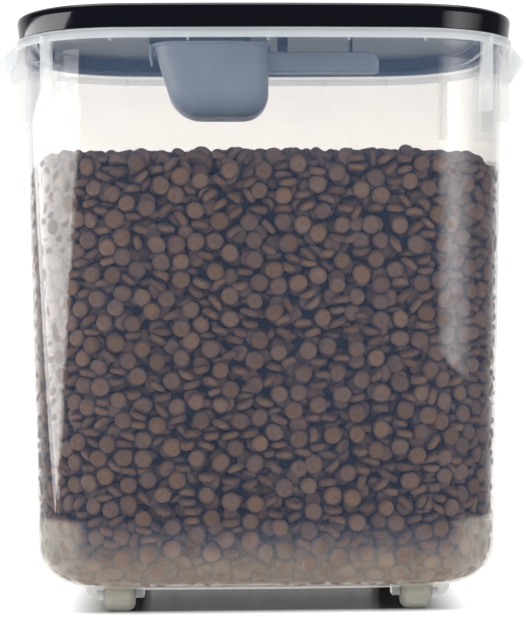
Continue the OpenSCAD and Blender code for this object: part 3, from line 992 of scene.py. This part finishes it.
def scatter(random, width, height, face_tries, edge_tries, spacing_face, spacing_edge):
    """Places discs on a strip by rejection, as rows of (along, up, face-on?, spin).

    None is closer to another than their sizes allow. The face-on ones come first, and those on edge fill the
    room between them, lying nearly level."""
    cell = spacing_face
    nx, ny = int(width / cell) + 1, int(height / cell) + 2
    grid = [[[] for _ in range(ny)] for _ in range(nx)]
    placed_rows = []
    draws = random.random((face_tries + edge_tries, 2)) * (width, height)
    spins = random.normal(0, 0.5, face_tries + edge_tries)
    for number, ((along, up), spin) in enumerate(zip(draws, spins)):
        face = number < face_tries
        gx, gy = int(along / cell), int(up / cell)
        clear = True
        for ix in (gx - 1, gx, gx + 1):
            for iy in (gy - 1, gy, gy + 1):
                if not 0 <= iy < ny:
                    continue
                for a2, u2, face2, spin2 in grid[ix % nx][iy]:
                    dx = (along - a2 + width / 2) % width - width / 2
                    dy = up - u2
                    gap = math.hypot(dx, dy)
                    way = math.atan2(dy, dx)
                    need = sum(
                        spacing_face / 2 if is_face else math.hypot(
                            spacing_face / 2 * math.cos(way - turn), spacing_edge / 2 * math.sin(way - turn))
                        for is_face, turn in ((face, spin), (face2, spin2)))
                    if gap < need:
                        clear = False
                        break
                if not clear:
                    break
            if not clear:
                break
        if clear:
            grid[gx % nx][gy].append((along, up, face, spin))
            placed_rows.append((along, up, face, spin))
    return placed_rows


def food_height(along_share):
    """The food's top edge round the wall, in mm, with lumps."""
    t = 2 * math.pi * along_share
    return FOOD_TOP + 2.5 * math.sin(5 * t + 0.7) + 2.0 * math.sin(13 * t + 2.1) + 1.5 * math.sin(29 * t)


def kibble_places():
    """Each kibble's centre in mm and its turn, as an (n, 3) array and a list of matrices."""
    random = np.random.default_rng(11)
    path, normal, length = wall_path()
    total = length[-1]
    centres, turns = [], []

    base = BASE_R - WALL
    base_length = base * math.pi / 2
    base_z = CLEARANCE + BASE_R

    def place(along, up, depth, face, spin, tip):
        """Sets one kibble at a depth inside the wall. up runs up the base's curve and then the wall."""
        k = min(int(np.searchsorted(length, along, side="right")) - 1, len(path) - 1)
        slope = min(up / base, math.pi / 2)
        z = base_z - base * math.cos(slope) + max(up - base_length, 0) + depth * math.cos(slope)
        inset = wall_inset(max(z, base_z)) + WALL + base * (1 - math.sin(slope)) + depth * math.sin(slope)
        out = normal[k]
        centre = path[k] - inset * out
        if inset > CORNER_R * 0.86:
            return
        outwards = Matrix(((-out[1], 0, out[0]), (out[0], 0, out[1]), (0, 1, 0)))
        turn = Matrix.Rotation(spin, 3, "Z")
        lean = Euler((tip[0] + math.pi / 2 - slope, tip[1], 0)).to_matrix()
        stand = Matrix.Identity(3) if face else Matrix.Rotation(math.pi / 2, 3, "X")
        centres.append((centre[0], centre[1], z))
        turns.append(np.array(outwards @ lean @ turn @ stand))

    for extra, face_tries, edge_tries, wide, thick, wobble in FOOD_LAYERS:
        for along, up, face, spin in scatter(random, total, STRIP_H, face_tries, edge_tries, wide, thick):
            tip = random.normal(0, wobble * 0.5, 2)
            if up + base_z - base_length + 4 > food_height(along / total) + random.normal(0, 1.2):
                continue
            reach = KIBBLE_T / 2 if face else KIBBLE_R
            depth = reach + extra + abs(random.normal(0, 0.5)) + 0.9 * KIBBLE_R * min(1.0, np.abs(tip).max()) * face
            place(along, up, depth, face, spin, tip)
    for _ in range(BASE_TRIES):
        x, y = random.uniform(-130, 130), random.uniform(-95, 95)
        if plan_inset(x, y) < wall_inset(base_z) + WALL + base + KIBBLE_R:
            continue
        centres.append((x, y, CLEARANCE + WALL + KIBBLE_T / 2 + random.uniform(0.6, 6)))
        turns.append(np.array(Euler(random.normal(0, 0.2, 3)).to_matrix()))
    for _ in range(TOP_TRIES):
        x, y = random.uniform(-150, 150), random.uniform(-112, 112)
        corner = np.array([max(abs(x) - CORNER_C[0], 0), max(abs(y) - CORNER_C[1], 0)])
        if np.linalg.norm(corner) > CORNER_R - 18:
            continue
        heap = 4.0 * math.cos(x / 110) * math.cos(y / 80)
        centres.append((x, y, FOOD_TOP - 7 + heap + random.uniform(0, 5)))
        turns.append(np.array(Euler(random.normal(0, 0.8, 3) * (1, 1, 3)).to_matrix()))
    return np.array(centres), np.array(turns)


def kibble_material():
    """Baked brown biscuit: each piece a little different, with a rough, pitted crust, and painted shade where pieces
    crowd together.
    """
    m = Nodes("kibble")
    piece = m.add("NewGeometry").outputs["Random Per Island"]
    tone = m.ramp(piece, (0.0, (0.096, 0.056, 0.038)), (0.5, (0.120, 0.072, 0.048)),
                  (1.0, (0.150, 0.090, 0.057)))
    crust = m.noise(520.0, 5.0, 0.7)
    crusted = m.mix_colour(m.remap(crust, 0.42, 0.68, 0.0, 0.75), tone, (0.050, 0.026, 0.016))
    # Painted shade: an ambient occlusion node turns the colour towards near black where other pieces crowd close.
    ao_for_painted_shade = m.add("AmbientOcclusion", samples=5, only_local=True, inputs={"Distance": 0.004}).outputs["AO"]
    colour = m.mix_colour(m.remap(ao_for_painted_shade, 0.25, 0.9, 0.0, 1.0), (0.022, 0.016, 0.016), crusted)
    shader = m.add("BsdfPrincipled", inputs={
        "Base Color": colour, "Roughness": 0.75, "Normal": m.bump(crust, 0.0006, 0.6)}).outputs[0]
    return m.finish(shader)


def make_food():
    """The dry food that the photograph shows in the bin. It is contents, so it is part of the set."""
    verts, faces = kibble_shape()
    centres, turns = kibble_places()
    random = np.random.default_rng(5)
    size = random.normal(1.0, 0.05, (len(centres), 1, 3))
    points = np.einsum("nij,nkj->nki", turns, verts[None] * size) + centres[:, None, :]
    count, per = len(centres), len(verts)
    quads = (faces[None] + per * np.arange(count)[:, None, None]).reshape(-1, 4)
    mesh = bpy.data.meshes.new("food")
    mesh.vertices.add(count * per)
    mesh.vertices.foreach_set("co", (points * MM).astype(np.float32).ravel())
    mesh.loops.add(quads.size)
    mesh.loops.foreach_set("vertex_index", quads.astype(np.int32).ravel())
    mesh.polygons.add(len(quads))
    mesh.polygons.foreach_set("loop_start", np.arange(0, quads.size, 4, dtype=np.int32))
    mesh.update(calc_edges=True)
    mesh.shade_smooth()
    food = new_object("food", mesh)
    food.data.materials.append(kibble_material())
    # Painted shade: a near-black solid inside the kibble layers stands in for the shade deep in the heap and shows
    # through the gaps between pieces.
    core_profile = [(wall_inset(40) + WALL + 30, 30), (wall_inset(60) + WALL + 13, 60),
                    (wall_inset(FOOD_TOP - 14) + WALL + 13, FOOD_TOP - 14)]
    core = loft("food_core_painted_shade", core_profile)
    m = Nodes("food_core_painted_shade")
    painted_shade_fill = m.add("BsdfDiffuse", inputs={"Color": (0.012, 0.014, 0.022, 1)}).outputs[0]
    core.data.materials.append(m.finish(painted_shade_fill))


# ---------------------------------------------------------------- everything
make_set()
make_tub(natural_plastic("tub_wall"), natural_plastic("tub_rim", 0.44), natural_plastic("tub_ribs", 0.26))
make_lid(black_plastic("lid_gloss"), black_plastic("lid_satin_painted_sheen", True), seal_rubber())
make_scoop(scoop_plastic())
make_wheels(wheel_plastic(), drawn_steel())
make_food()

bpy.context.scene.view_settings.view_transform = "Standard"
bpy.context.scene.cycles.transparent_max_bounces = 24
